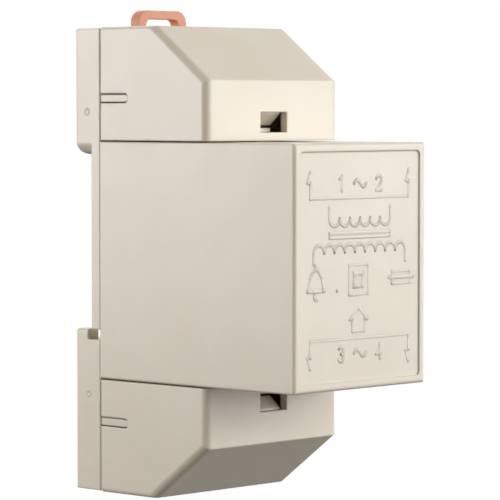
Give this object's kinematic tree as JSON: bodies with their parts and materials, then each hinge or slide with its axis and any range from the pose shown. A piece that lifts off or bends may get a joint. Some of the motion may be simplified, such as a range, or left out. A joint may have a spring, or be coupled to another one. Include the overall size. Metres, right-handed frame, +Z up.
{
  "type": "doorbell transformer",
  "caption": "Narrow rail-mounted bell transformer: deep central block, sloped terminal covers above and below, and a sprung clip with a pull loop at the back.",
  "frame": {"origin": "middle of the flat rail seat in the back of the base", "axes": "+X across the front, +Y toward the rail and the wall, +Z up to the clip's pull loop"},
  "size_m": [0.036, 0.0571, 0.0918],
  "materials": {
    "housing_plastic": "satin moulded",
    "clip_plastic": "satin moulded, slightly translucent",
    "terminal_plastic": "satin moulded",
    "bobbin_plastic": "moulded",
    "lamination_steel": "rolled sheet with varnish",
    "winding_copper": "enamelled copper",
    "coil_tape": "polyester film",
    "fuse_shell": "smooth",
    "zinc_steel": "zinc plated",
    "clamp_brass": "brass sheet",
    "lead_insulation": "flexible insulation"
  },
  "bodies": {
    "device": {"base": "housing_plastic", "housing": "housing_plastic", "clip_spring": "zinc_steel", "e_laminations": "lamination_steel", "i_laminations": "lamination_steel", "bobbin": "bobbin_plastic", "primary_winding": "winding_copper", "primary_tape": "coil_tape", "secondary_winding": "winding_copper", "secondary_tape": "coil_tape", "thermal_fuse": "fuse_shell", "case_screws": "zinc_steel", "secondary_terminal_block": "terminal_plastic", "primary_terminal_block": "terminal_plastic", "primary_clamp_left": "clamp_brass", "primary_clamp_right": "clamp_brass", "secondary_clamp_left": "clamp_brass", "secondary_clamp_right": "clamp_brass", "terminal_screws": "zinc_steel", "secondary_lead_left": "lead_insulation", "secondary_lead_right": "lead_insulation", "primary_lead_neutral": "lead_insulation", "primary_lead_live": "lead_insulation"},
    "clip": {"rail_clip": "clip_plastic"},
    "upper_cover": {"upper_terminal_cover": "housing_plastic"},
    "lower_cover": {"lower_terminal_cover": "housing_plastic"}
  },
  "joints": [
    {"name": "rail_clip_slide", "type": "slide", "parent": "device", "child": "clip", "axis": [0, 0, 1], "range_m": [0, 0.0032], "stiffness_N_per_m": 1500, "springref_m": -0.002, "deforming": ["clip_spring"]},
    {"name": "upper_cover_slide", "type": "slide", "parent": "device", "child": "upper_cover", "axis": [0, -1, 0], "range_m": [0, 0.03]},
    {"name": "lower_cover_slide", "type": "slide", "parent": "device", "child": "lower_cover", "axis": [0, -1, 0], "range_m": [0, 0.03]}
  ]
}
